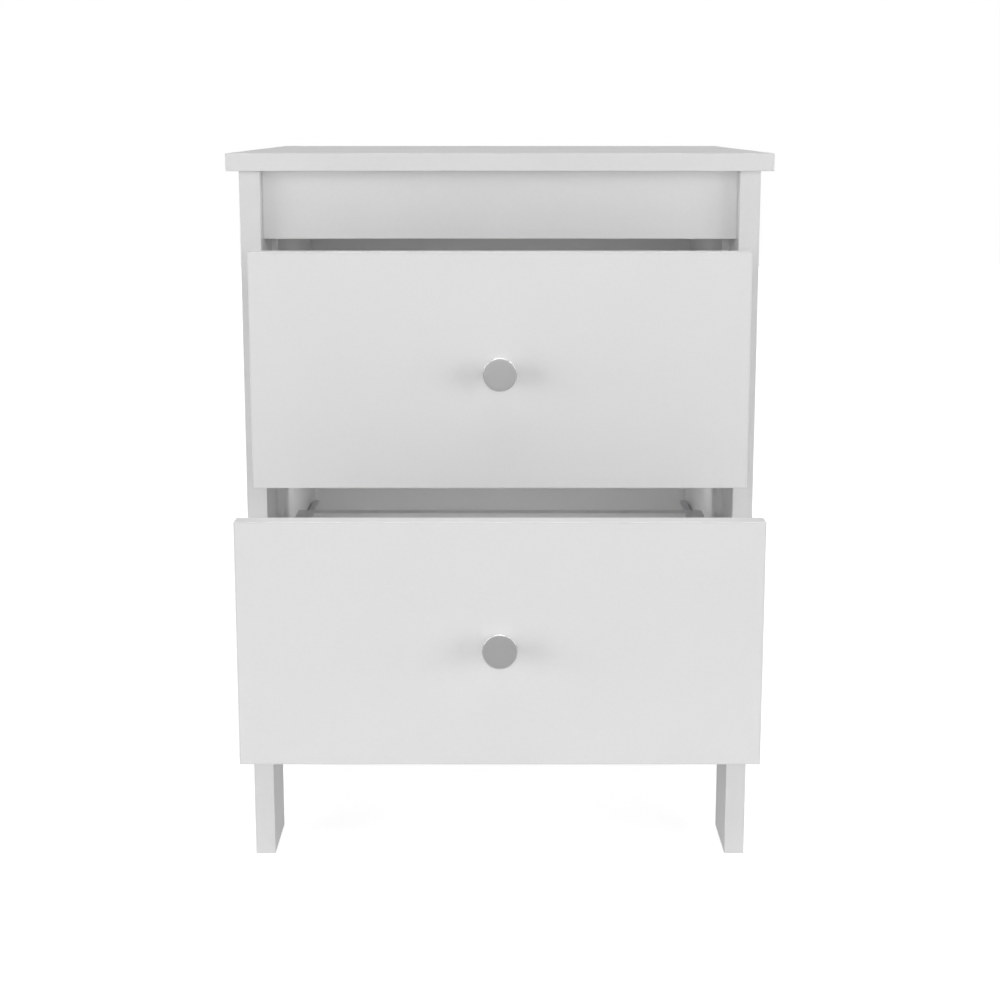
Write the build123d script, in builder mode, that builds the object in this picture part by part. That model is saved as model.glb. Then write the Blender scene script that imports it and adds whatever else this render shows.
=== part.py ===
"""Nightstand with two drawers on ball-bearing slides.

Millimetres, +Z up, +X to the right and +Y to the rear. The origin is on the floor, at the centre of the
footprint of the four leg posts. The drawers are drawn standing open, as far as `openings` says.
"""

import os
from dataclasses import dataclass
from itertools import product
from math import copysign

from build123d import *

os.makedirs("parts", exist_ok=True)

X, Y, Z = Vector(1, 0, 0), Vector(0, 1, 0), Vector(0, 0, 1)
SIDES = {"left": -1, "right": 1}
ENDS = {"front": -1, "rear": 1}
FROM_END = (Align.CENTER, Align.CENTER, Align.MIN)

# Carcass
carcass_width = 450.0
carcass_depth = 450.0
post_height = 621.5
post_width = 75.0
board = 18.0  # posts, side panels, apron, rear rail and drawer fronts
thin_board = 15.0  # top, bottom and drawer boxes
hardboard = 3.0
panel_step = 6.0  # the side panels stand this far inside the posts
top_overhang = 10.0
apron_height = 59.0
front_setback = 14.0  # apron and closed fronts, behind the posts' front edges
back_setback = 12.0  # back panel, in front of the posts' rear edges
edge_radius = 0.6  # edge banding
groove_depth = 6.0
groove_play = 0.1

# Drawers
front_height = 195.0
front_gap = 3.0  # above, below and between the fronts
front_side_gap = 2.0
box_length = 300.0
box_height = 125.0
box_rise = 15.0  # box bottom above the front's lower edge
bottom_rise = 10.0  # drawer bottom above the box's lower edge
openings = {"upper": 125.0, "lower": 248.0}

# Slides. Across one, distances run from the side panel (0) to the drawer's side (slide_width).
slide_width = 12.7
slide_length = 300.0
slide_height = 45.0
slide_setback = 2.0
steel = 1.2  # cabinet and drawer members
thin_steel = 1.0  # middle member
cage_steel = 0.6
race = 3.2  # room for the balls between two members
lip = 0.8
ball_radius = 1.5
ball_pitch = 16.0
balls_in_row = 9
cage_length = 146.0
middle_web, middle_mouth = 3.9, 11.0
outer_cage_web, outer_cage_mouth, outer_ball_line = 2.9, 8.0, 6.2
inner_cage_web, inner_cage_mouth, inner_ball_line = 5.3, 10.0, 8.3
outer_mouth, inner_mouth = 9.1, 6.4
access_slot = (60.0, 12.0)  # in the middle member, over the cabinet member's screws
access_slot_places = (75.0, 225.0)
cabinet_screw_places = (64.0, 160.0, 268.0)  # behind the slide's front end
drawer_screw_places = (30.0, 160.0, 270.0)

# Knobs: radii, and heights above the drawer front
knob_base_radius, knob_base_top = 7.5, 1.5
knob_neck_radius, knob_neck_top = 5.5, 7.0
knob_head_radius, knob_head_bottom = 13.8, 19.4
knob_top = 21.0
knob_rim = 0.7

# Fasteners
cam_radius, cam_depth = 7.5, 12.5
cam_distance = 24.0  # from the cam's centre to the joint
cam_recess = (8.0, 1.6)
bolt_thread = (2.5, 11.0)  # radius and length of each stretch
bolt_collar = (3.6, 6.0)
bolt_neck_radius = 2.2
bolt_head = (3.4, 3.0)
bolt_channel_radius = 4.0
dowel_radius, dowel_length, dowel_chamfer = 3.0, 30.0, 0.6
slide_screw = {"shank": 1.75, "length": 14.0, "head": 3.5, "height": 1.4}
drawer_slide_screw = {**slide_screw, "length": 12.0}
corner_screw = {"shank": 2.5, "length": 38.0, "head": 3.6, "height": 2.0}
knob_screw = {"shank": 2.0, "length": 28.0, "head": 4.0, "height": 2.4}
nail = {"shank": 0.7, "length": 16.0, "head": 1.8, "height": 0.8}
nail_places = (-151.0, -50.0, 50.0, 151.0)
play = 0.1  # round a fastener in its hole
bottom_cam_rows = (-110.0, 110.0)
top_cam_rows = (-110.0, 110.0)
box_cam_rise = 38.0  # above and below the box's middle
rail_dowel_rise = 18.0
panel_dowel_count = 5

# Worked out from those
post_inner = carcass_width / 2 - board
panel_inner = post_inner - panel_step
panel_end = carcass_depth / 2 - post_width
fixed_face = -carcass_depth / 2 + front_setback
closed_rear = fixed_face + board  # rear face of the apron and of a closed front
back_face = carcass_depth / 2 - back_setback - hardboard
rail_face = back_face - board
apron_bottom = post_height - apron_height
rail_middle = post_height - apron_height / 2
front_bottoms = {
    "upper": apron_bottom - front_gap - front_height,
    "lower": apron_bottom - 2 * (front_gap + front_height),
}
floor_top = front_bottoms["lower"] - front_gap
floor_bottom = floor_top - thin_board
front_half_width = post_inner - front_side_gap
box_outer = panel_inner - slide_width
box_inner = box_outer - thin_board
slide_front = closed_rear + slide_setback
slide_centre = slide_front + slide_length / 2
middle_height = slide_height - 2 * (steel + race)
inner_height = middle_height - 2 * (thin_steel + race)


def save(piece, name):
    piece.part.label = name
    export_step(piece.part, f"parts/{name}.step")


def slab(x, y, z):
    """A board between the given pairs of limits, with banded edges."""
    with Locations(tuple((low + high) / 2 for low, high in (x, y, z))):
        Box(abs(x[1] - x[0]), y[1] - y[0], z[1] - z[0])
    fillet(edges(), edge_radius)


def cut(x, y, z):
    """Remove the block between the given pairs of limits."""
    with Locations(tuple((low + high) / 2 for low, high in (x, y, z))):
        Box(abs(x[1] - x[0]), y[1] - y[0], z[1] - z[0], mode=Mode.SUBTRACT)


def bore(points, into, radius, depth):
    """Blind round holes, from each point into the piece being built."""
    with Locations([Plane(origin=point, z_dir=into) for point in points]):
        Cylinder(radius, depth, align=FROM_END, mode=Mode.SUBTRACT)


def rod(start, along, radius, length):
    """A round stretch of the fastener being built."""
    with Locations(Plane(origin=start, z_dir=along)):
        Cylinder(radius, length, align=FROM_END)


@dataclass
class Cam:
    """A cam lock let into a board's face, and the bolt that it pulls on in the next board."""

    face: Vector  # the cam's centre, on the board's face
    into: Vector  # from that face into the board
    toward: Vector  # along the bolt, to the next board
    half: float  # from the face to the bolt's axis

    @property
    def joint(self):
        """Where the bolt's axis meets the next board."""
        return self.face + self.into * self.half + self.toward * cam_distance


def cam_holes(cams):
    """The housing and the bolt's channel, in the board that holds the cams."""
    for cam in cams:
        bore([cam.face], cam.into, cam_radius + play, cam_depth + play)
        bore([cam.joint], -cam.toward, bolt_channel_radius, cam_distance)


def bolt_holes(cams):
    """The threaded holes, in the board that holds the bolts."""
    for cam in cams:
        bore([cam.joint], cam.toward, bolt_thread[0] + play, bolt_thread[1] + play)


def make_cams(cams, name):
    """Round cams, each with the slot for its bolt's head and a cross recess."""
    with BuildPart() as locks:
        for cam in cams:
            rod(cam.face, cam.into, cam_radius, cam_depth)
        for cam in cams:
            bore([cam.joint], -cam.toward, bolt_channel_radius, cam_distance + bolt_channel_radius)
            with Locations(Plane(origin=cam.face, x_dir=cam.toward, z_dir=cam.into)):
                Box(cam_recess[0], cam_recess[1], cam_recess[1], align=FROM_END, mode=Mode.SUBTRACT)
                Box(cam_recess[1], cam_recess[0], cam_recess[1], align=FROM_END, mode=Mode.SUBTRACT)
    save(locks, name)


def make_bolts(cams, name):
    """Cam bolts: threaded end, collar behind the joint, slim neck, and head inside the cam."""
    with BuildPart() as bolts:
        for cam in cams:
            back = -cam.toward
            rod(cam.joint, cam.toward, *bolt_thread)
            rod(cam.joint, back, *bolt_collar)
            rod(cam.joint, back, bolt_neck_radius, cam_distance)
            rod(cam.joint + back * (cam_distance - bolt_head[1] / 2), back, *bolt_head)
    save(bolts, name)


def make_screws(places, into, name, shank, length, head, height):
    """Screws of one size whose heads bear on the given places, with cross recess and pointed end."""
    with BuildPart() as group:
        for place in places:
            along = into(place)
            rod(place, along, shank, length - shank)
            with Locations(Plane(origin=place + along * (length - shank), z_dir=along)):
                Cone(shank, shank / 4, shank, align=FROM_END)
            rod(place, -along, head, height)
            with Locations(Plane(origin=place - along * height, z_dir=along)):
                Box(head, head / 4, height / 2, align=FROM_END, mode=Mode.SUBTRACT)
                Box(head / 4, head, height / 2, align=FROM_END, mode=Mode.SUBTRACT)
    save(group, name)


def screw_holes(places, along, shank, length, head, height, sunk=False):
    """Pilot holes for screws, and recesses for their heads where those are sunk."""
    bore(places, along, shank + play, length + play)
    if sunk:
        bore([place - along * height for place in places], along, head + play, height)


def outward(place):
    return X * copysign(1, place.X)


def inward(place):
    return -outward(place)


# Cams and dowels of the carcass, by side
bottom_cams = {
    side: [
        Cam(Vector(hand * (panel_inner - cam_distance), y, floor_bottom), Z, X * hand, thin_board / 2)
        for y in bottom_cam_rows
    ]
    for side, hand in SIDES.items()
}
top_cams = {
    side: [
        Cam(Vector(hand * panel_inner, y, post_height - cam_distance), X * hand, Z, board / 2)
        for y in top_cam_rows
    ]
    for side, hand in SIDES.items()
}
rail_cams = {
    (side, end): [
        Cam(Vector(hand * (post_inner - cam_distance), y, rail_middle), into, X * hand, board / 2)
    ]
    for side, hand in SIDES.items()
    for end, y, into in (("front", closed_rear, -Y), ("rear", rail_face, Y))
}
panel_dowels = {
    (side, end): [
        Vector(
            hand * (post_inner + panel_inner + board) / 2,
            facing * panel_end,
            floor_bottom + (post_height - floor_bottom) * (row + 0.5) / panel_dowel_count,
        )
        for row in range(panel_dowel_count)
    ]
    for side, hand in SIDES.items()
    for end, facing in ENDS.items()
}
rail_dowels = {
    (side, end): [
        Vector(hand * post_inner, y, rail_middle + rise) for rise in (-rail_dowel_rise, rail_dowel_rise)
    ]
    for side, hand in SIDES.items()
    for end, y in (("front", closed_rear - board / 2), ("rear", rail_face + board / 2))
}
dowel_hole = (dowel_radius + play, dowel_length / 2 + play)
back_nails = {
    name: [Vector(x, back_face + hardboard, z) for x in nail_places]
    for name, z in (("rear_rail", rail_middle), ("bottom_panel", floor_bottom + thin_board / 2))
}

# Slides: their middle heights, and where their screws' heads bear
slide_heights = {level: front_bottoms[level] + box_rise + box_height / 2 for level in openings}
cabinet_screws = {
    (level, side): [
        Vector(hand * (panel_inner - steel), slide_front + place, height) for place in cabinet_screw_places
    ]
    for level, height in slide_heights.items()
    for side, hand in SIDES.items()
}
drawer_screws = {
    (level, side): [
        Vector(hand * (box_outer + steel), slide_front - openings[level] + place, height)
        for place in drawer_screw_places
    ]
    for level, height in slide_heights.items()
    for side, hand in SIDES.items()
}

# Carcass boards
with BuildPart() as top_panel:
    top_half_width = carcass_width / 2 + top_overhang
    top_half_depth = carcass_depth / 2 + top_overhang
    slab(
        (-top_half_width, top_half_width),
        (-top_half_depth, top_half_depth),
        (post_height, post_height + thin_board),
    )
    for side in SIDES:
        bolt_holes(top_cams[side])
save(top_panel, "top_panel")

for side, hand in SIDES.items():
    for end, facing in ENDS.items():
        with BuildPart() as post:
            outer_edge = facing * carcass_depth / 2
            slab(
                sorted((hand * post_inner, hand * carcass_width / 2)),
                sorted((facing * panel_end, outer_edge)),
                (0, post_height),
            )
            bore(panel_dowels[side, end], Y * facing, *dowel_hole)
            bore(rail_dowels[side, end], X * hand, *dowel_hole)
            bolt_holes(rail_cams[side, end])
            if end == "rear":
                cut(
                    sorted((hand * post_inner, hand * (post_inner + groove_depth))),
                    (back_face - groove_play, back_face + hardboard + groove_play),
                    (floor_bottom - groove_play, post_height),
                )
        save(post, f"{end}_{side}_post")

    with BuildPart() as side_panel:
        slab(
            sorted((hand * panel_inner, hand * (panel_inner + board))),
            (-panel_end, panel_end),
            (floor_bottom, post_height),
        )
        cam_holes(top_cams[side])
        bolt_holes(bottom_cams[side])
        for end, facing in ENDS.items():
            bore(panel_dowels[side, end], Y * -facing, *dowel_hole)
        for level in openings:
            screw_holes(cabinet_screws[level, side], X * hand, **slide_screw)
    save(side_panel, f"{side}_side_panel")

for name, end, y in (
    ("apron", "front", (fixed_face, closed_rear)),
    ("rear_rail", "rear", (rail_face, back_face)),
):
    with BuildPart() as rail:
        slab((-post_inner, post_inner), y, (apron_bottom, post_height))
        for side, hand in SIDES.items():
            cam_holes(rail_cams[side, end])
            bore(rail_dowels[side, end], X * -hand, *dowel_hole)
        if end == "rear":
            screw_holes(back_nails[name], -Y, **nail)
    save(rail, name)

with BuildPart() as bottom_panel:
    slab((-post_inner, post_inner), (fixed_face, back_face), (floor_bottom, floor_top))
    for side, hand in SIDES.items():
        notch = sorted((hand * panel_inner, hand * post_inner))
        cut(notch, (-panel_end, panel_end), (floor_bottom, floor_top))
        cam_holes(bottom_cams[side])
    screw_holes(back_nails["bottom_panel"], -Y, **nail)
save(bottom_panel, "bottom_panel")

with BuildPart() as back_panel:
    reach = post_inner + groove_depth - groove_play
    with Locations((0, back_face + hardboard / 2, (floor_bottom + post_height) / 2)):
        Box(2 * reach, hardboard, post_height - floor_bottom)
    for places in back_nails.values():
        screw_holes(places, -Y, **nail)
save(back_panel, "back_panel")

# Carcass fasteners
carcass_cams = [
    cam for group in (bottom_cams, top_cams, rail_cams) for place in group.values() for cam in place
]
make_cams(carcass_cams, "carcass_cam_locks")
make_bolts(carcass_cams, "carcass_cam_bolts")
make_screws(sum(back_nails.values(), []), lambda place: -Y, "back_panel_nails", **nail)
make_screws(sum(cabinet_screws.values(), []), outward, "cabinet_slide_screws", **slide_screw)

with BuildPart() as dowels:
    for dowel_places, across in ((panel_dowels, Y), (rail_dowels, X)):
        for places in dowel_places.values():
            for place in places:
                rod(place - across * dowel_length / 2, across, dowel_radius, dowel_length)
    chamfer(edges().filter_by(GeomType.CIRCLE), dowel_chamfer)
save(dowels, "dowels")


def member(hand, front, height, web, mouth, tall, gauge):
    """One slide member: a steel channel, with its web and mouth at these distances across the slide."""
    depth = abs(mouth - web)
    step = copysign(1, mouth - web)
    with BuildSketch(Plane.XZ.offset(-front - slide_length)) as section:
        with Locations((hand * (panel_inner - (web + mouth) / 2), height)):
            Rectangle(depth, tall)
        fillet(vertices().group_by(Axis.X)[0 if hand * step < 0 else -1], gauge)
        with Locations((hand * (panel_inner - (web + step * gauge + mouth) / 2), height)):
            Rectangle(depth - gauge, tall - 2 * gauge, mode=Mode.SUBTRACT)
        lip_place = hand * (panel_inner - mouth + step * lip / 2)
        lip_rise = tall / 2 - gauge - lip / 2
        with Locations((lip_place, height - lip_rise), (lip_place, height + lip_rise)):
            Rectangle(lip, lip)
    extrude(section.sketch, amount=slide_length)


def ball_cage(hand, middle, height, web, mouth, line, rise, name):
    """A thin channel that spaces two rows of balls, `rise` above and below its middle, on `line`."""
    rows = [middle + ball_pitch * (count - (balls_in_row - 1) / 2) for count in range(balls_in_row)]
    across = sorted((hand * (panel_inner - web), hand * (panel_inner - mouth)))
    hollow = sorted((hand * (panel_inner - web - cage_steel), hand * (panel_inner - mouth)))
    along = (middle - cage_length / 2, middle + cage_length / 2)
    reach = rise + cage_steel / 2
    with BuildPart() as cage:
        with Locations((sum(across) / 2, middle, height)):
            Box(across[1] - across[0], cage_length, 2 * reach)
        cut(hollow, along, (height - reach + cage_steel, height + reach - cage_steel))
        holes = [Vector(hand * (panel_inner - line), y, height + reach) for y in rows]
        bore(holes, -Z, ball_radius + play, 2 * reach)
        with Locations([(hole.X, hole.Y, height + end * rise) for hole in holes for end in (-1, 1)]):
            Sphere(ball_radius)
    save(cage, name)


# Slides
for (level, opening), (side, hand) in product(openings.items(), SIDES.items()):
    height = slide_heights[level]
    with BuildPart() as cabinet_member:
        member(hand, slide_front, height, 0, outer_mouth, slide_height, steel)
        screw_holes(cabinet_screws[level, side], X * hand, **slide_screw)
    save(cabinet_member, f"{level}_{side}_cabinet_member")

    with BuildPart() as middle_member:
        middle_front = slide_front - opening / 2
        member(hand, middle_front, height, middle_web, middle_mouth, middle_height, thin_steel)
        with BuildSketch(Plane.YZ.offset(hand * (panel_inner - middle_web))) as slots:
            with Locations([(middle_front + place, height) for place in access_slot_places]):
                SlotOverall(*access_slot)
        extrude(slots.sketch, amount=thin_steel, both=True, mode=Mode.SUBTRACT)
    save(middle_member, f"{level}_{side}_middle_member")

    with BuildPart() as drawer_member:
        member(hand, slide_front - opening, height, slide_width, inner_mouth, inner_height, steel)
        screw_holes(drawer_screws[level, side], X * -hand, **drawer_slide_screw)
    save(drawer_member, f"{level}_{side}_drawer_member")

    outer_rise = (slide_height / 2 + middle_height / 2 - steel) / 2
    inner_rise = (middle_height / 2 + inner_height / 2 - thin_steel) / 2
    ball_cage(
        hand,
        slide_centre - opening / 4,
        height,
        outer_cage_web,
        outer_cage_mouth,
        outer_ball_line,
        outer_rise,
        f"{level}_{side}_outer_ball_cage",
    )
    ball_cage(
        hand,
        slide_centre - opening * 3 / 4,
        height,
        inner_cage_web,
        inner_cage_mouth,
        inner_ball_line,
        inner_rise,
        f"{level}_{side}_inner_ball_cage",
    )

# Drawers
for level, opening in openings.items():
    front_rear = closed_rear - opening
    front_face = front_rear - board
    front_bottom = front_bottoms[level]
    knob_height = front_bottom + front_height / 2
    box_rear = front_rear + box_length
    box_bottom = front_bottom + box_rise
    box_top = box_bottom + box_height
    box_middle = (box_bottom + box_top) / 2
    groove = (box_bottom + bottom_rise, box_bottom + bottom_rise + hardboard)
    loose_groove = (groove[0] - groove_play, groove[1] + groove_play)
    tongue = groove_depth - groove_play
    rises = (box_middle - box_cam_rise, box_middle + box_cam_rise)
    box_cams = {
        side: [
            Cam(Vector(hand * box_outer, front_rear + cam_distance, z), X * -hand, -Y, thin_board / 2)
            for z in rises
        ]
        for side, hand in SIDES.items()
    }
    corner_screws = {
        side: [
            Vector(hand * (box_outer - corner_screw["height"]), box_rear - thin_board / 2, z) for z in rises
        ]
        for side, hand in SIDES.items()
    }
    knob_screw_seat = Vector(0, front_rear, knob_height)

    with BuildPart() as front:
        slab(
            (-front_half_width, front_half_width),
            (front_face, front_rear),
            (front_bottom, front_bottom + front_height),
        )
        for side in SIDES:
            bolt_holes(box_cams[side])
        half_groove = box_inner + tongue
        cut((-half_groove, half_groove), (front_rear - groove_depth, front_rear), loose_groove)
        bore([knob_screw_seat], -Y, knob_screw["shank"] + play, board)
    save(front, f"{level}_drawer_front")

    for side, hand in SIDES.items():
        with BuildPart() as box_side:
            slab(
                sorted((hand * box_inner, hand * box_outer)),
                (front_rear, box_rear),
                (box_bottom, box_top),
            )
            cut(
                sorted((hand * box_inner, hand * (box_inner + groove_depth))),
                (front_rear, box_rear - thin_board + groove_depth),
                loose_groove,
            )
            cam_holes(box_cams[side])
            screw_holes(corner_screws[side], X * -hand, **corner_screw, sunk=True)
            screw_holes(drawer_screws[level, side], X * -hand, **drawer_slide_screw)
        save(box_side, f"{level}_drawer_{side}_side")

    with BuildPart() as box_back:
        slab((-box_inner, box_inner), (box_rear - thin_board, box_rear), (box_bottom, box_top))
        cut(
            (-box_inner, box_inner),
            (box_rear - thin_board, box_rear - thin_board + groove_depth),
            loose_groove,
        )
        for side, hand in SIDES.items():
            screw_holes(corner_screws[side], X * -hand, **corner_screw)
    save(box_back, f"{level}_drawer_back")

    with BuildPart() as box_floor:
        low_y = front_rear - tongue
        high_y = box_rear - thin_board + tongue
        with Locations((0, (low_y + high_y) / 2, sum(groove) / 2)):
            Box(2 * (box_inner + tongue), high_y - low_y, hardboard)
    save(box_floor, f"{level}_drawer_bottom")

    with BuildPart() as knob:
        with BuildSketch(Plane(origin=(0, front_face, knob_height), x_dir=X, z_dir=-Z)) as half_section:
            with BuildLine():
                face_edge = (knob_head_radius - knob_rim, knob_top)
                rim_edge = (knob_head_radius, knob_top - knob_rim)
                neck_end = (knob_neck_radius, knob_neck_top)
                head_end = (knob_head_radius, knob_head_bottom)
                Polyline(
                    neck_end,
                    (knob_neck_radius, knob_base_top),
                    (knob_base_radius, knob_base_top),
                    (knob_base_radius, 0),
                    (0, 0),
                    (0, knob_top),
                    face_edge,
                )
                RadiusArc(face_edge, rim_edge, knob_rim)
                Line(rim_edge, head_end)
                TangentArc(neck_end, head_end, tangent=(0, 1))
            make_face()
        revolve(half_section.sketch, axis=Axis((0, front_face, knob_height), (0, 1, 0)))
        screw_holes([knob_screw_seat], -Y, **knob_screw)
    save(knob, f"{level}_knob")

    make_cams(sum(box_cams.values(), []), f"{level}_drawer_cam_locks")
    make_bolts(sum(box_cams.values(), []), f"{level}_drawer_cam_bolts")
    make_screws(sum(corner_screws.values(), []), inward, f"{level}_drawer_corner_screws", **corner_screw)
    level_screws = drawer_screws[level, "left"] + drawer_screws[level, "right"]
    make_screws(level_screws, inward, f"{level}_drawer_slide_screws", **drawer_slide_screw)
    make_screws([knob_screw_seat], lambda place: -Y, f"{level}_knob_screw", **knob_screw)
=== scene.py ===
from math import asin, cos, pi, radians, sin

import bpy
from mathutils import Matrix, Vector


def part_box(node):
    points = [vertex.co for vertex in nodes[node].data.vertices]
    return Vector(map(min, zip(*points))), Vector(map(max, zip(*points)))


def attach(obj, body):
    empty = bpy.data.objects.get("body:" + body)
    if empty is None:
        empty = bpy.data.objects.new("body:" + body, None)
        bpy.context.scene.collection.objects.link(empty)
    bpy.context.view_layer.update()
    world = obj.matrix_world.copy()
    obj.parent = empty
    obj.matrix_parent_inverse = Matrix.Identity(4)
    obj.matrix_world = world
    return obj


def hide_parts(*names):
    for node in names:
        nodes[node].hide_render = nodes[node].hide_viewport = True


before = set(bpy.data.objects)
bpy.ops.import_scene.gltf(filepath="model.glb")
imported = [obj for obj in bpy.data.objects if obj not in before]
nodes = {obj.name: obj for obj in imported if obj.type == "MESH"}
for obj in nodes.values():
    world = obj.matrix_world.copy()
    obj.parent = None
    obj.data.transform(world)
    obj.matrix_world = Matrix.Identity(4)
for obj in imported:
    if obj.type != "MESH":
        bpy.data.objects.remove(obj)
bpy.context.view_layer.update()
levels = ("upper", "lower")
sides = {"left": -1, "right": 1}
mm = 0.001
print("frame loaded,", len(nodes), "nodes")


# helpers for shader nodes
def addNode(tree, kind, **settings):
    node = tree.nodes.new(kind)
    for name, value in settings.items():
        setattr(node, name, value)
    return node


def link(tree, source, target):
    tree.links.new(source, target)


def sums(tree, operation, a, b=None):
    node = addNode(tree, "ShaderNodeMath", operation=operation)
    for socket, value in zip(node.inputs, (a, b)):
        if value is None:
            continue
        if isinstance(value, (int, float)):
            socket.default_value = value
        else:
            link(tree, value, socket)
    return node.outputs[0]


def vectorMath(tree, operation, a, b=None):
    node = addNode(tree, "ShaderNodeVectorMath", operation=operation)
    for socket, value in zip(node.inputs, (a, b)):
        if value is None:
            continue
        if isinstance(value, (tuple, Vector)):
            socket.default_value = value
        else:
            link(tree, value, socket)
    return node.outputs[0]


def scaled(tree, value, factor):
    node = addNode(tree, "ShaderNodeVectorMath", operation="SCALE")
    link(tree, value, node.inputs[0])
    node.inputs["Scale"].default_value = factor
    return node.outputs[0]


def step(tree, value, low, high, fromValue=0.0, toValue=1.0):
    node = addNode(tree, "ShaderNodeMapRange", interpolation_type="SMOOTHSTEP")
    link(tree, value, node.inputs["Value"])
    node.inputs["From Min"].default_value = low
    node.inputs["From Max"].default_value = high
    node.inputs["To Min"].default_value = fromValue
    node.inputs["To Max"].default_value = toValue
    return node.outputs["Result"]


def mixColour(tree, factor, a, b):
    node = addNode(tree, "ShaderNodeMix", data_type="RGBA")
    sockets = [s for s in node.inputs if s.enabled]
    for socket, value in zip(sockets, (factor, a, b)):
        if isinstance(value, (int, float)):
            socket.default_value = value
        elif isinstance(value, tuple):
            socket.default_value = (*value, 1.0)
        else:
            link(tree, value, socket)
    return next(s for s in node.outputs if s.enabled)


def mixNumber(tree, factor, a, b):
    node = addNode(tree, "ShaderNodeMix", data_type="FLOAT")
    link(tree, factor, node.inputs[0])
    link(tree, a, node.inputs[2])
    node.inputs[3].default_value = b
    return node.outputs[0]


def noise(tree, place, scale, detail=3.0, roughness=0.5):
    node = addNode(tree, "ShaderNodeTexNoise")
    link(tree, place, node.inputs["Vector"])
    node.inputs["Scale"].default_value = scale
    node.inputs["Detail"].default_value = detail
    node.inputs["Roughness"].default_value = roughness
    return node.outputs["Fac"]


def apart(tree, place):
    node = addNode(tree, "ShaderNodeSeparateXYZ")
    link(tree, place, node.inputs[0])
    return node.outputs


def stretched(tree, place, scale):
    node = addNode(tree, "ShaderNodeMapping")
    node.inputs["Scale"].default_value = scale
    link(tree, place, node.inputs["Vector"])
    return node.outputs["Vector"]


def bump(tree, height, strength, distance, under=None):
    node = addNode(tree, "ShaderNodeBump")
    node.inputs["Strength"].default_value = strength
    node.inputs["Distance"].default_value = distance
    link(tree, height, node.inputs["Height"])
    if under:
        link(tree, under, node.inputs["Normal"])
    return node.outputs["Normal"]


def newGroup(name, inputs, outputs):
    tree = bpy.data.node_groups.new(name, "ShaderNodeTree")
    for label, kind in inputs.items():
        tree.interface.new_socket(label, in_out="INPUT", socket_type=kind)
    for label, kind in outputs.items():
        tree.interface.new_socket(label, in_out="OUTPUT", socket_type=kind)
    return tree, tree.nodes.new("NodeGroupInput"), tree.nodes.new("NodeGroupOutput")


def useGroup(tree, group, **values):
    node = addNode(tree, "ShaderNodeGroup", node_tree=group)
    for name, value in values.items():
        socket = node.inputs[name]
        if isinstance(value, (int, float, tuple, Vector)):
            socket.default_value = value
        else:
            link(tree, value, socket)
    return node.outputs


def newMaterial(name, **shaderValues):
    material = bpy.data.materials.new(name)
    material.use_nodes = True
    tree = material.node_tree
    shader = tree.nodes["Principled BSDF"]
    for label, value in shaderValues.items():
        shader.inputs[label.replace("_", " ")].default_value = value
    place = addNode(tree, "ShaderNodeTexCoord").outputs["Object"]
    return material, tree, shader, place


# kinds of socket on the node groups
vector, number, colour = "NodeSocketVector", "NodeSocketFloat", "NodeSocketColor"

# faced chipboard: white melamine, an edge band glued on, pressed chips where it is cut into
faced = {
    "white": (0.80, 0.80, 0.80),
    "seam": (0.66, 0.65, 0.63),
    "worn": (0.70, 0.695, 0.68),
    "gloss": (0.36, 0.46),
    "wornDull": 0.10,
    "chipDull": 0.85,
    "skinDeep": 0.7 * mm,
    "seamIn": 0.85 * mm,
    "arrisWide": 1.1 * mm,
    "mottleScale": 9.0,
    "mottle": (0.988, 1.0),
    "speckScale": 420.0,
    "speck": (-0.006, 0.006),
    "rubStretch": (30.0, 30.0, 6.0),
    "pearlScale": 1500.0,
    "pearlDeep": 0.06 * mm,
    "wearScale": 70.0,
}
chips = {
    "scale": 420.0,
    "warpScale": 180.0,
    "warp": 3.0 * mm,
    "fibreScale": 1400.0,
    "dark": (0.30, 0.19, 0.10, 1.0),
    "light": (0.62, 0.46, 0.29, 1.0),
    "dust": (0.50, 0.36, 0.22),
    "deep": 0.4 * mm,
}


def makeBoardSkin():
    # where a point is on a board: down in its core, on an edge band's seam, on an arris
    tree, given, result = newGroup(
        "boardSkin",
        {"Place": vector, "Low": vector, "High": vector, "Across": vector},
        {"Core": number, "Seam": number, "Arris": number},
    )
    fromLow = vectorMath(tree, "SUBTRACT", given.outputs["Place"], given.outputs["Low"])
    fromHigh = vectorMath(tree, "SUBTRACT", given.outputs["High"], given.outputs["Place"])
    nearest = vectorMath(tree, "MINIMUM", fromLow, fromHigh)
    inward = apart(tree, nearest)
    least = sums(tree, "MINIMUM", inward[0], inward[1])
    most = sums(tree, "MAXIMUM", inward[0], inward[1])
    depth = sums(tree, "MINIMUM", least, inward[2])
    link(tree, step(tree, depth, faced["skinDeep"], faced["skinDeep"] + 0.2 * mm), result.inputs["Core"])
    alongFace = apart(tree, vectorMath(tree, "ADD", nearest, given.outputs["Across"]))
    toEdge = sums(tree, "MINIMUM", sums(tree, "MINIMUM", alongFace[0], alongFace[1]), alongFace[2])
    offSeam = sums(tree, "ABSOLUTE", sums(tree, "SUBTRACT", toEdge, faced["seamIn"]))
    link(tree, step(tree, offSeam, 0.04 * mm, 0.13 * mm, 1.0, 0.0), result.inputs["Seam"])
    toArris = sums(tree, "MAXIMUM", least, sums(tree, "MINIMUM", most, inward[2]))
    link(tree, step(tree, toArris, 0.0, faced["arrisWide"], 1.0, 0.0), result.inputs["Arris"])
    return tree


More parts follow.
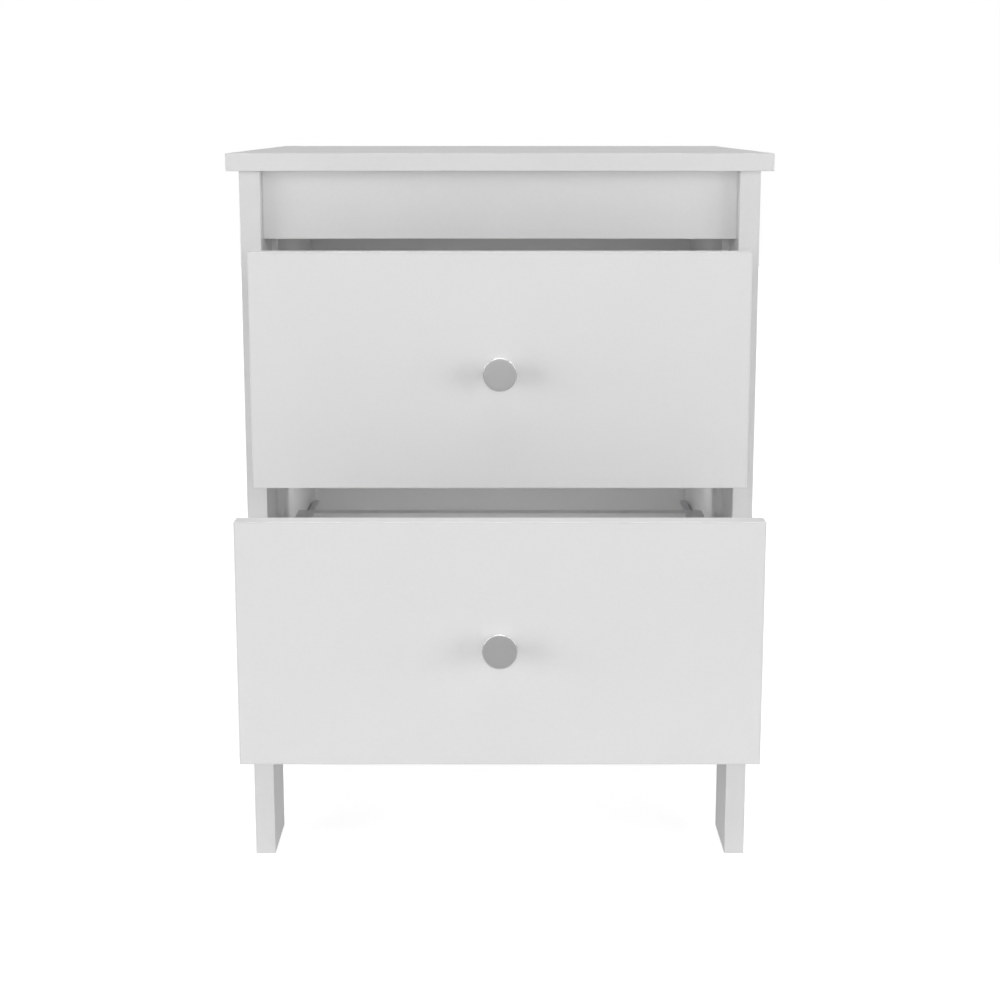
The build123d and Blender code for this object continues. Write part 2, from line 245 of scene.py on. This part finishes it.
def makeMelamine():
    # printed white face: faint mottling, fine pearl texture, soft rub marks
    tree, given, result = newGroup(
        "melamine",
        {"Place": vector, "Colour": colour},
        {"Colour": colour, "Roughness": number, "Height": number},
    )
    place = given.outputs["Place"]
    mottle = noise(tree, place, faced["mottleScale"], 4.0)
    speck = noise(tree, place, faced["speckScale"], 2.0)
    rubbed = noise(tree, stretched(tree, place, faced["rubStretch"]), 1.0, 5.0, 0.65)
    soft = step(tree, mottle, 0.3, 0.7, *faced["mottle"])
    shade = sums(tree, "ADD", soft, step(tree, speck, 0.35, 0.65, *faced["speck"]))
    bright = addNode(tree, "ShaderNodeMix", data_type="RGBA", blend_type="MULTIPLY")
    sockets = [s for s in bright.inputs if s.enabled]
    sockets[0].default_value = 1.0
    link(tree, given.outputs["Colour"], sockets[1])
    link(tree, shade, sockets[2])
    link(tree, next(s for s in bright.outputs if s.enabled), result.inputs["Colour"])
    link(tree, step(tree, rubbed, 0.3, 0.75, *faced["gloss"]), result.inputs["Roughness"])
    link(tree, noise(tree, place, faced["pearlScale"], 2.0, 0.6), result.inputs["Height"])
    return tree


def makeChipboard():
    # pressed chips of wood: flat flakes of many tones with dark gaps
    tree, given, result = newGroup("chipboard", {"Place": vector}, {"Colour": colour, "Height": number})
    place = given.outputs["Place"]
    warp = scaled(tree, noise(tree, place, chips["warpScale"], 2.0), chips["warp"])
    flakes = addNode(tree, "ShaderNodeTexVoronoi", feature="F1")
    flakes.inputs["Scale"].default_value = chips["scale"]
    link(tree, vectorMath(tree, "ADD", place, warp), flakes.inputs["Vector"])
    tone = addNode(tree, "ShaderNodeValToRGB")
    tone.color_ramp.elements[0].color = chips["dark"]
    tone.color_ramp.elements[1].color = chips["light"]
    link(tree, flakes.outputs["Color"], tone.inputs["Fac"])
    fibre = noise(tree, place, chips["fibreScale"], 3.0, 0.7)
    dusty = mixColour(tree, step(tree, fibre, 0.3, 0.7), tone.outputs["Color"], chips["dust"])
    link(tree, dusty, result.inputs["Colour"])
    link(tree, sums(tree, "ADD", flakes.outputs["Distance"], fibre), result.inputs["Height"])
    return tree


boardSkin = makeBoardSkin()
melamine = makeMelamine()
chipboard = makeChipboard()

# the axis across each board's thickness
boards = {
    "top_panel": "z",
    "bottom_panel": "z",
    "left_side_panel": "x",
    "right_side_panel": "x",
    "apron": "y",
    "rear_rail": "y",
}
for side in sides:
    boards.update({f"front_{side}_post": "x", f"rear_{side}_post": "x"})
for level in levels:
    boards.update({f"{level}_drawer_front": "y", f"{level}_drawer_back": "y"})
    boards.update({f"{level}_drawer_{side}_side": "x" for side in sides})


def boardMaterial(node, thin):
    material, tree, shader, place = newMaterial(f"white_{node}", IOR=1.5)
    low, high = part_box(node)
    across = tuple(float(axis == thin) for axis in "xyz")
    skin = useGroup(tree, boardSkin, Place=place, Low=low, High=high, Across=across)
    face = useGroup(tree, melamine, Place=place, Colour=(*faced["white"], 1.0))
    core = useGroup(tree, chipboard, Place=place)
    handled = step(tree, noise(tree, place, faced["wearScale"], 4.0, 0.6), 0.50, 0.72)
    worn = sums(tree, "MULTIPLY", skin["Arris"], handled)
    banded = mixColour(tree, skin["Seam"], face["Colour"], faced["seam"])
    banded = mixColour(tree, worn, banded, faced["worn"])
    link(tree, mixColour(tree, skin["Core"], banded, core["Colour"]), shader.inputs["Base Color"])
    polish = sums(tree, "ADD", face["Roughness"], sums(tree, "MULTIPLY", worn, faced["wornDull"]))
    dull = sums(tree, "MULTIPLY", skin["Core"], faced["chipDull"])
    link(tree, sums(tree, "MAXIMUM", polish, dull), shader.inputs["Roughness"])
    fine = bump(tree, face["Height"], 0.12, faced["pearlDeep"])
    chipped = sums(tree, "MULTIPLY", core["Height"], skin["Core"])
    link(tree, bump(tree, chipped, 1.0, chips["deep"], fine), shader.inputs["Normal"])
    return material


def paint(obj, material):
    obj.data.materials.clear()
    obj.data.materials.append(material)


for node, thin in boards.items():
    paint(nodes[node], boardMaterial(node, thin))
print("boards painted")

# hardboard: white film on both faces, brown fibre at the edges
hardboard = {
    "white": (0.80, 0.80, 0.80),
    "fibre": (0.30, 0.19, 0.11),
    "fibreDark": (0.18, 0.115, 0.066),
    "cloud": (0.38, 0.26, 0.16),
    "film": 0.6 * mm,
    "edgeDull": 0.75,
    "fibreStretch": (300.0, 260.0, 300.0),
    "cloudScale": 25.0,
    "sheets": {"upper_drawer_bottom": "z", "lower_drawer_bottom": "z", "back_panel": "y"},
}


def hardboardMaterial(node, thin):
    material, tree, shader, place = newMaterial(f"hardboard_{node}", IOR=1.5)
    low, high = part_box(node)
    index = "xyz".index(thin)
    across = apart(tree, place)[index]
    film = hardboard["film"]
    inner, outer = low[index] + film, high[index] - film
    lowFilm = step(tree, across, inner - film / 2, inner, 1.0, 0.0)
    highFilm = step(tree, across, outer, outer + film / 2)
    filmed = sums(tree, "MAXIMUM", lowFilm, highFilm)
    face = useGroup(tree, melamine, Place=place, Colour=(*hardboard["white"], 1.0))
    fibres = noise(tree, stretched(tree, place, hardboard["fibreStretch"]), 1.0, 5.0, 0.7)
    clouds = step(tree, noise(tree, place, hardboard["cloudScale"], 3.0), 0.35, 0.7, 0.0, 0.35)
    brown = mixColour(tree, step(tree, fibres, 0.25, 0.75), hardboard["fibreDark"], hardboard["fibre"])
    brown = mixColour(tree, clouds, brown, hardboard["cloud"])
    link(tree, mixColour(tree, filmed, brown, face["Colour"]), shader.inputs["Base Color"])
    bare = step(tree, filmed, 0.0, 1.0, hardboard["edgeDull"], 0.0)
    link(tree, sums(tree, "MAXIMUM", face["Roughness"], bare), shader.inputs["Roughness"])
    link(tree, bump(tree, fibres, 0.25, 0.2 * mm), shader.inputs["Normal"])
    return material


for node, thin in hardboard["sheets"].items():
    paint(nodes[node], hardboardMaterial(node, thin))
print("hardboard painted")

# zinc-plated and cast fittings; gloss is the roughness of the plain and of the clouded patches
metals = {
    "slide_steel": {
        "bright": (0.65, 0.66, 0.67),
        "dull": (0.60, 0.61, 0.62),
        "gloss": (0.34, 0.40),
        "grain": 260.0,
    },
    "cage_steel": {
        "bright": (0.52, 0.53, 0.54),
        "dull": (0.46, 0.47, 0.48),
        "gloss": (0.28, 0.36),
        "grain": 420.0,
    },
    "fastener_steel": {
        "bright": (0.62, 0.62, 0.60),
        "dull": (0.54, 0.54, 0.52),
        "gloss": (0.26, 0.38),
        "grain": 700.0,
    },
    "cam_zinc": {
        "bright": (0.50, 0.50, 0.50),
        "dull": (0.44, 0.44, 0.45),
        "gloss": (0.40, 0.50),
        "grain": 520.0,
    },
}


plating = {"cloudScale": 60.0, "drawnStretch": (1.0, 0.04, 1.0), "pitScale": 900.0, "pitDeep": 0.03 * mm}


def makePlatedMetal():
    # two tones in soft clouds, fine drawn lines and small pits
    tree, given, result = newGroup(
        "platedMetal",
        {"Place": vector, "Bright": colour, "Dull": colour, "Grain": number},
        {"Colour": colour, "Cloud": number, "Height": number},
    )
    place = given.outputs["Place"]
    drawn = addNode(tree, "ShaderNodeTexNoise")
    link(tree, stretched(tree, place, plating["drawnStretch"]), drawn.inputs["Vector"])
    link(tree, given.outputs["Grain"], drawn.inputs["Scale"])
    cloud = step(tree, noise(tree, place, plating["cloudScale"], 3.0), 0.35, 0.7)
    streaked = sums(tree, "MULTIPLY", cloud, drawn.outputs["Fac"])
    tone = mixColour(tree, streaked, given.outputs["Bright"], given.outputs["Dull"])
    link(tree, tone, result.inputs["Colour"])
    link(tree, cloud, result.inputs["Cloud"])
    pits = noise(tree, place, plating["pitScale"], 2.0)
    link(tree, sums(tree, "ADD", drawn.outputs["Fac"], pits), result.inputs["Height"])
    return tree


platedMetal = makePlatedMetal()


def metalMaterial(name):
    look = metals[name]
    material, tree, shader, place = newMaterial(name, Metallic=1.0)
    tones = {"Bright": (*look["bright"], 1.0), "Dull": (*look["dull"], 1.0)}
    plated = useGroup(tree, platedMetal, Place=place, Grain=look["grain"], **tones)
    link(tree, plated["Colour"], shader.inputs["Base Color"])
    link(tree, step(tree, plated["Cloud"], 0.0, 1.0, *look["gloss"]), shader.inputs["Roughness"])
    link(tree, bump(tree, plated["Height"], 0.08, plating["pitDeep"]), shader.inputs["Normal"])
    return material


finishes = {name: metalMaterial(name) for name in metals}
fittings = {
    "carcass_cam_locks": "cam_zinc",
    "carcass_cam_bolts": "fastener_steel",
    "back_panel_nails": "fastener_steel",
    "cabinet_slide_screws": "fastener_steel",
}
for level in levels:
    fittings[f"{level}_drawer_cam_locks"] = "cam_zinc"
    for kind in ("drawer_cam_bolts", "drawer_corner_screws", "drawer_slide_screws", "knob_screw"):
        fittings[f"{level}_{kind}"] = "fastener_steel"
    for side in sides:
        fittings[f"{level}_{side}_outer_ball_cage"] = "cage_steel"
        fittings[f"{level}_{side}_inner_ball_cage"] = "cage_steel"
for node, finish in fittings.items():
    paint(nodes[node], finishes[finish])
print("fittings painted")

beech = {
    "dark": (0.56, 0.38, 0.22),
    "light": (0.70, 0.52, 0.33),
    "grain": (900.0, 900.0, 90.0),
    "dull": 0.6,
}


def beechMaterial():
    material, tree, shader, place = newMaterial("beech", Roughness=beech["dull"])
    fibre = noise(tree, stretched(tree, place, beech["grain"]), 1.0, 4.0, 0.6)
    tone = mixColour(tree, step(tree, fibre, 0.3, 0.7), beech["dark"], beech["light"])
    link(tree, tone, shader.inputs["Base Color"])
    link(tree, bump(tree, fibre, 0.3, 0.1 * mm), shader.inputs["Normal"])
    return material


paint(nodes["dowels"], beechMaterial())
print("dowels painted")

# the knobs' finish: a satin face with fine turning lines, bright sides
knobLook = {
    "face": (0.50, 0.50, 0.505),
    "line": (0.62, 0.62, 0.62),
    "side": (0.71, 0.71, 0.72),
    "faceDull": 0.36,
    "sideDull": 0.12,
    "turningScale": 2600.0,
    "smudgeScale": 90.0,
    "rim": 0.9 * mm,
}


def knobMaterial(level):
    low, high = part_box(f"{level}_knob")
    material, tree, shader, place = newMaterial(f"{level}_knob_chrome", Metallic=1.0)
    centre = addNode(tree, "ShaderNodeMapping")
    centre.inputs["Location"].default_value = (-(low.x + high.x) / 2, -low.y, -(low.z + high.z) / 2)
    link(tree, place, centre.inputs["Vector"])
    across, inward, rise = apart(tree, centre.outputs["Vector"])
    square = sums(tree, "ADD", sums(tree, "POWER", across, 2.0), sums(tree, "POWER", rise, 2.0))
    away = sums(tree, "SQRT", square)
    faceRadius = (high.x - low.x) / 2 - knobLook["rim"]
    flat = step(tree, away, faceRadius, faceRadius + 0.2 * mm, 1.0, 0.0)
    onFace = sums(tree, "MULTIPLY", flat, step(tree, inward, 0.05 * mm, 0.25 * mm, 1.0, 0.0))
    turned = addNode(tree, "ShaderNodeTexNoise", noise_dimensions="1D")
    turned.inputs["Scale"].default_value = knobLook["turningScale"]
    turned.inputs["Detail"].default_value = 3.0
    link(tree, away, turned.inputs["W"])
    lines = step(tree, turned.outputs["Fac"], 0.3, 0.7, 0.0, 0.12)
    satin = mixColour(tree, lines, knobLook["face"], knobLook["line"])
    link(tree, mixColour(tree, onFace, knobLook["side"], satin), shader.inputs["Base Color"])
    smudge = step(tree, noise(tree, place, knobLook["smudgeScale"], 4.0, 0.6), 0.4, 0.75, 0.0, 0.05)
    polish = sums(tree, "ADD", sums(tree, "MULTIPLY", onFace, knobLook["faceDull"]), knobLook["sideDull"])
    link(tree, sums(tree, "ADD", polish, smudge), shader.inputs["Roughness"])
    link(tree, bump(tree, turned.outputs["Fac"], 0.06, 0.03 * mm), shader.inputs["Normal"])
    return material


# helpers for modelling by hand
def deselectAll():
    bpy.ops.object.select_all(action="DESELECT")


def editStart():
    bpy.ops.object.mode_set(mode="EDIT")
    bpy.ops.mesh.select_all(action="DESELECT")


def pick(kind, test):
    # selects the faces, edges or corners that pass a test of their place
    bpy.ops.object.mode_set(mode="OBJECT")
    mesh = bpy.context.object.data
    for group in (mesh.vertices, mesh.edges, mesh.polygons):
        for part in group:
            part.select = False
    if kind == "FACE":
        for face in mesh.polygons:
            face.select = test(face.center)
    elif kind == "VERT":
        for corner in mesh.vertices:
            corner.select = test(corner.co)
    else:
        for edge in mesh.edges:
            ends = [mesh.vertices[index].co for index in edge.vertices]
            edge.select = test((ends[0] + ends[1]) / 2) and test(ends[0]) and test(ends[1])
    bpy.ops.object.mode_set(mode="EDIT")
    bpy.ops.mesh.select_mode(type=kind)


def pull(x, y, z):
    bpy.ops.mesh.extrude_region_move(TRANSFORM_OT_translate={"value": (x, y, z)})


def applyModifier(kind, **settings):
    piece = bpy.context.object
    bpy.ops.object.modifier_add(type=kind)
    modifier = piece.modifiers[-1]
    for name, value in settings.items():
        setattr(modifier, name, value)
    bpy.ops.object.modifier_apply(modifier=modifier.name)


def settle(name, angle=32.0):
    # normals out, place into the mesh, smooth across gentle angles
    piece = bpy.context.object
    bpy.ops.object.mode_set(mode="EDIT")
    bpy.ops.mesh.select_all(action="SELECT")
    bpy.ops.mesh.remove_doubles(threshold=1e-6)
    bpy.ops.mesh.normals_make_consistent(inside=False)
    bpy.ops.object.mode_set(mode="OBJECT")
    bpy.ops.object.transform_apply(location=True, rotation=True, scale=True)
    bpy.ops.object.shade_smooth_by_angle(angle=radians(angle))
    piece.name = name
    piece.data.name = name
    return piece


def copyTo(piece, name, shift):
    copied = piece.copy()
    copied.data = piece.data.copy()
    bpy.context.collection.objects.link(copied)
    deselectAll()
    copied.select_set(True)
    bpy.context.view_layer.objects.active = copied
    copied.location = shift
    bpy.ops.object.transform_apply(location=True, rotation=False, scale=False)
    copied.name = name
    copied.data.name = name
    return copied


def install(piece, body, node, material):
    paint(piece, material)
    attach(piece, body)
    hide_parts(node)


# knobs: turned, with a trumpet neck and a bright rim round a flat face
knobShape = {
    "sides": 96,
    "boreRadius": 2.1 * mm,
    "boreDepth": 14.0 * mm,
    "baseRadius": 7.5 * mm,
    "baseHeight": 1.5 * mm,
    "baseRound": 0.35 * mm,
    "neckRadius": 5.5 * mm,
    "neckHeight": 7.0 * mm,
    "flareSteps": 16,
    "sideHeight": 19.4 * mm,
    "rim": 0.7 * mm,
    "rimSteps": 6,
    "faceRings": 3,
}


def knobProfile(length, radius):
    # radius and height above the seat, from the bore's bottom out to the rim
    shape = knobShape
    steps = [(shape["boreRadius"], 0.0), (shape["baseRadius"] - shape["baseRound"], 0.0)]
    steps += [(shape["baseRadius"], shape["baseRound"])]
    steps += [(shape["baseRadius"], shape["baseHeight"] - shape["baseRound"])]
    steps += [(shape["baseRadius"] - shape["baseRound"], shape["baseHeight"])]
    steps += [(shape["neckRadius"], shape["baseHeight"])]
    wide = radius - shape["neckRadius"]
    tall = shape["sideHeight"] - shape["neckHeight"]
    bend = (wide**2 + tall**2) / (2 * wide)  # radius of the flare's arc
    sweep = asin(tall / bend)
    for count in range(shape["flareSteps"] + 1):
        turn = sweep * count / shape["flareSteps"]
        steps.append((shape["neckRadius"] + bend * (1 - cos(turn)), shape["neckHeight"] + bend * sin(turn)))
    for count in range(shape["rimSteps"] + 1):
        turn = pi / 2 * count / shape["rimSteps"]
        inset = shape["rim"] * (1 - cos(turn))
        steps.append((radius - inset, length - shape["rim"] * (1 - sin(turn))))
    return steps


def makeKnob(level):
    low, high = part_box(f"{level}_knob")
    seat = Vector(((low.x + high.x) / 2, high.y, (low.z + high.z) / 2))
    length, radius = high.y - low.y, (high.x - low.x) / 2
    deselectAll()
    bpy.ops.mesh.primitive_circle_add(
        vertices=knobShape["sides"],
        radius=knobShape["boreRadius"],
        fill_type="NGON",
        location=seat - Vector((0, knobShape["boreDepth"], 0)),
        rotation=(radians(90.0), 0.0, 0.0),
    )
    editStart()
    bpy.ops.mesh.select_mode(type="FACE")
    bpy.ops.mesh.select_all(action="SELECT")
    lastRadius, lastHeight = knobShape["boreRadius"], knobShape["boreDepth"]
    for nextRadius, height in knobProfile(length, radius):
        pull(0.0, lastHeight - height, 0.0)
        grow = nextRadius / lastRadius
        bpy.ops.transform.resize(value=(grow, 1.0, grow), center_override=seat)
        lastRadius, lastHeight = nextRadius, height
    for _ in range(knobShape["faceRings"]):
        bpy.ops.mesh.inset(thickness=(radius - knobShape["rim"]) / (knobShape["faceRings"] + 1))
    bpy.ops.mesh.poke()
    return settle(f"{level}_knob_turned")


upperKnob = makeKnob("upper")
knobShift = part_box("lower_knob")[0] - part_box("upper_knob")[0]
knobs = {"upper": upperKnob, "lower": copyTo(upperKnob, "lower_knob_turned", knobShift)}
for level, knob in knobs.items():
    install(knob, f"{level}_drawer", f"{level}_knob", knobMaterial(level))
print("knobs turned")

# slides: rolled steel channels with curled lips, pressed ribs and punched holes
# distances across a member run from its web's back, rises from its middle, shifts from its front end
channels = {
    "cabinet_member": {
        "gauge": 1.2 * mm,
        "rib": (9.0 * mm, 10.4 * mm, 0.9 * mm),
        "corner": 3.0 * mm,
        "curl": (7.4 * mm, 8.5 * mm, 20.7 * mm),
        "screws": (64.0 * mm, 160.0 * mm, 268.0 * mm),
        "slots": (
            (20.0 * mm, 5.0 * mm, 2.4 * mm),
            (112.0 * mm, 8.0 * mm, 2.4 * mm),
            (214.0 * mm, 8.0 * mm, 2.4 * mm),
        ),
        "webTowards": "panel",
    },
    "middle_member": {
        "gauge": 1.0 * mm,
        "rib": None,
        "corner": 1.6 * mm,
        "curl": (5.6 * mm, 6.6 * mm, 16.5 * mm),
        "screws": (),
        "slots": (
            (51.0 * mm, 48.0 * mm, 6.0 * mm),
            (201.0 * mm, 48.0 * mm, 6.0 * mm),
            (150.0 * mm, 0.0, 3.0 * mm),
        ),
        "webTowards": "panel",
    },
    "drawer_member": {
        "gauge": 1.2 * mm,
        "rib": (6.6 * mm, 7.8 * mm, 0.7 * mm),
        "corner": 1.9 * mm,
        "curl": (4.7 * mm, 5.7 * mm, 12.1 * mm),
        "screws": (30.0 * mm, 160.0 * mm, 270.0 * mm),
        "slots": ((84.0 * mm, 7.0 * mm, 2.3 * mm), (206.0 * mm, 7.0 * mm, 2.3 * mm)),
        "webTowards": "drawer",
    },
}
screwHole = 1.85 * mm
bendSteps = 5
cutterSides = 28
sheetBevel = 0.12 * mm


def halfSection(channel, halfHeight):
    # the middle line of the upper half of the strip, as (distance from the web's back, rise)
    half = channel["gauge"] / 2
    line = [(half, 0.0)]
    web = half
    if channel["rib"]:
        ribStart, ribEnd, ribHeight = channel["rib"]
        line += [(half, ribStart), (half + ribHeight, ribEnd)]
        web = half + ribHeight
    bend = channel["corner"]
    top = halfHeight - half
    for count in range(bendSteps + 1):
        turn = pi / 2 * count / bendSteps
        line.append((web + bend * (1 - cos(turn)), top - bend * (1 - sin(turn))))
    curlStart, lipPlace, lipEnd = channel["curl"]
    curl = lipPlace - curlStart
    for count in range(bendSteps + 1):
        turn = pi / 2 * count / bendSteps
        line.append((curlStart + curl * sin(turn), top - curl * (1 - cos(turn))))
    if top - curl > lipEnd:
        line.append((lipPlace, lipEnd))
    return line


def punch(strip, place, stretch, radius, depth):
    # a round hole, or a slot where its far half is stretched along the slide
    deselectAll()
    bpy.ops.mesh.primitive_cylinder_add(
        vertices=cutterSides,
        radius=radius,
        depth=depth,
        location=place,
        rotation=(0.0, radians(90.0), 0.0),
    )
    bpy.ops.object.transform_apply(location=True, rotation=True, scale=True)
    cutter = bpy.context.object
    if stretch:
        pick("VERT", lambda corner: corner.y > place.y + 1e-5)
        bpy.ops.transform.translate(value=(0.0, stretch, 0.0))
        bpy.ops.object.mode_set(mode="OBJECT")
    deselectAll()
    strip.select_set(True)
    bpy.context.view_layer.objects.active = strip
    applyModifier("BOOLEAN", operation="DIFFERENCE", object=cutter, solver="EXACT")
    bpy.data.objects.remove(cutter)


def makeChannel(level, side, kind):
    channel = channels[kind]
    hand = sides[side]
    low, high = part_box(f"{level}_{side}_{kind}")
    middle = (low + high) / 2
    webOnHigh = (hand > 0) == (channel["webTowards"] == "panel")
    backX, inward = (high.x, -1) if webOnHigh else (low.x, 1)
    line = halfSection(channel, (high.z - low.z) / 2)
    webX = backX + inward * line[0][0]
    flat = line[1][1]
    deselectAll()
    bpy.ops.mesh.primitive_plane_add(
        size=1.0, location=(webX, middle.y, middle.z), rotation=(0.0, radians(90.0), 0.0)
    )
    bpy.ops.transform.resize(value=(1.0, high.y - low.y, 2 * flat))
    bpy.ops.object.transform_apply(location=True, rotation=True, scale=True)
    for way in (-1, 1):
        editStart()
        pick("EDGE", lambda place: (place.z - middle.z) * way > flat * 0.99)
        for (lastAcross, lastRise), (across, rise) in zip(line[1:], line[2:]):
            pull(inward * (across - lastAcross), 0.0, way * (rise - lastRise))
        bpy.ops.object.mode_set(mode="OBJECT")
    applyModifier("SOLIDIFY", thickness=channel["gauge"], offset=0.0, use_even_offset=True)
    strip = settle(f"{level}_{side}_{kind}_rolled")
    holes = [(shift, 0.0, screwHole) for shift in channel["screws"]] + list(channel["slots"])
    for shift, stretch, radius in holes:
        punch(strip, Vector((webX, low.y + shift, middle.z)), stretch, radius, 10 * channel["gauge"])
    applyModifier("BEVEL", width=sheetBevel, segments=2, limit_method="ANGLE", angle_limit=radians(50.0))
    return settle(strip.name)


slideBodies = {
    "cabinet_member": "carcass",
    "middle_member": "{level}_{side}_middle",
    "drawer_member": "{level}_drawer",
}
for kind, body in slideBodies.items():
    for side in sides:
        rolled = {"upper": makeChannel("upper", side, kind)}
        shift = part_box(f"lower_{side}_{kind}")[0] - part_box(f"upper_{side}_{kind}")[0]
        rolled["lower"] = copyTo(rolled["upper"], f"lower_{side}_{kind}_rolled", shift)
        for level, strip in rolled.items():
            rider = body.format(level=level, side=side)
            install(strip, rider, f"{level}_{side}_{kind}", finishes["slide_steel"])
print("slides rolled")

cameraSet = {"place": (0.0001, -1.907, 0.66489), "pitch": 11.172, "lens": 69.353, "sensor": 36.0}
camera = bpy.data.objects.new("camera", bpy.data.cameras.new("camera"))
bpy.context.collection.objects.link(camera)
camera.location = cameraSet["place"]
camera.rotation_euler = (radians(90.0 - cameraSet["pitch"]), 0.0, 0.0)
camera.data.lens = cameraSet["lens"]
camera.data.sensor_width = cameraSet["sensor"]
bpy.context.scene.camera = camera

studio = {
    "front": 0.88,  # brightness of the walls in front, behind and above
    "behind": 0.49,
    "above": 0.04,
    "turn": (-0.3, 0.3),
    "wallTop": (0.1, 0.8),
    "arch": 4.3,
    "archForward": 0.1,
    "archEdge": (0.12, 0.20),
    "archFoot": (0.15, 0.30),
    "backdrop": 1.0,
    "floorSize": 14.0,
    "floorColour": (0.83, 0.83, 0.83),
    "floorDull": 0.9,
    "floorGrain": 400.0,
    "floorGlow": (0.65, 1.0),  # near the cabinet and far from it
    "glowReach": (0.45, 1.5),
}
# place, size and aim in metres; the last two stand for light that bounces about inside the cabinet
softboxes = {
    "overhead": {
        "place": (0.0, -0.3, 2.6),
        "size": (2.4, 2.4),
        "aim": (0.0, -0.25, 0.3),
        "watts": 9.2,
        "spread": 60.0,
    },
    "front": {
        "place": (0.0, -1.95, 0.68),
        "size": (0.9, 0.08),
        "aim": (0.0, 0.0, 0.40),
        "watts": 2.6,
    },
    "left": {
        "place": (-2.8, -1.7, 0.75),
        "size": (2.6, 1.4),
        "aim": (0.0, 0.0, 0.40),
        "watts": 29.0,
        "mirrored": False,
    },
    "right": {
        "place": (2.8, -1.7, 0.75),
        "size": (2.6, 1.4),
        "aim": (0.0, 0.0, 0.40),
        "watts": 29.0,
        "mirrored": False,
    },
    "upperBounce": {
        "place": (0.0, -0.08, 0.585),
        "size": (0.34, 0.05),
        "aim": (0.0, 0.21, 0.50),
        "watts": 0.056,
    },
    "lowerBounce": {
        "place": (0.0, -0.11, 0.345),
        "size": (0.34, 0.05),
        "aim": (0.0, 0.21, 0.22),
        "watts": 0.185,
    },
}


def makeFloor():
    deselectAll()
    bpy.ops.mesh.primitive_plane_add(size=studio["floorSize"])
    floor = bpy.context.object
    floor.name = "floor"
    material, tree, shader, place = newMaterial("floor_paper", Roughness=studio["floorDull"])
    shader.inputs["Base Color"].default_value = (*studio["floorColour"], 1.0)
    shader.inputs["Emission Color"].default_value = (1.0, 1.0, 1.0, 1.0)
    seen = addNode(tree, "ShaderNodeLightPath").outputs["Is Camera Ray"]
    away = addNode(tree, "ShaderNodeVectorMath", operation="LENGTH")
    link(tree, place, away.inputs[0])
    glow = step(tree, away.outputs["Value"], *studio["glowReach"], *studio["floorGlow"])
    link(tree, sums(tree, "MULTIPLY", seen, glow), shader.inputs["Emission Strength"])
    grain = noise(tree, place, studio["floorGrain"])
    link(tree, bump(tree, grain, 0.05, 0.2 * mm), shader.inputs["Normal"])
    paint(floor, material)


def makeWorld():
    world = bpy.data.worlds.new("studio")
    bpy.context.scene.world = world
    world.use_nodes = True
    tree = world.node_tree
    back = tree.nodes["Background"]
    ray = addNode(tree, "ShaderNodeLightPath")
    turned = apart(tree, addNode(tree, "ShaderNodeTexCoord").outputs["Generated"])
    around = step(tree, turned[1], *studio["turn"], studio["front"], studio["behind"])
    wall = mixNumber(tree, step(tree, turned[2], *studio["wallTop"]), around, studio["above"])
    # a thin bright arch from side to side overhead, seen only as a reflection, rims the knobs
    offArch = sums(tree, "ABSOLUTE", sums(tree, "ADD", turned[1], studio["archForward"]))
    band = step(tree, offArch, *studio["archEdge"], 1.0, 0.0)
    arch = sums(tree, "MULTIPLY", band, step(tree, turned[2], *studio["archFoot"]))
    reflected = sums(tree, "MULTIPLY", arch, ray.outputs["Is Glossy Ray"])
    lit = mixNumber(tree, reflected, wall, studio["arch"])
    seen = mixNumber(tree, ray.outputs["Is Camera Ray"], lit, studio["backdrop"])
    link(tree, seen, back.inputs["Strength"])
    back.inputs["Color"].default_value = (1.0, 1.0, 1.0, 1.0)


def makeSoftboxes():
    for name, box in softboxes.items():
        data = bpy.data.lights.new(name, "AREA")
        data.shape = "RECTANGLE"
        data.size, data.size_y = box["size"]
        data.energy = box["watts"]
        data.spread = radians(box.get("spread", 180.0))
        lamp = bpy.data.objects.new(name, data)
        bpy.context.collection.objects.link(lamp)
        lamp.location = box["place"]
        lamp.visible_camera = False
        lamp.visible_glossy = box.get("mirrored", True)
        aim = Vector(box["aim"]) - Vector(box["place"])
        lamp.rotation_euler = aim.to_track_quat("-Z", "Y").to_euler()


makeFloor()
makeWorld()
makeSoftboxes()
bpy.context.scene.view_settings.view_transform = "Standard"
print("camera, floor and lights set")
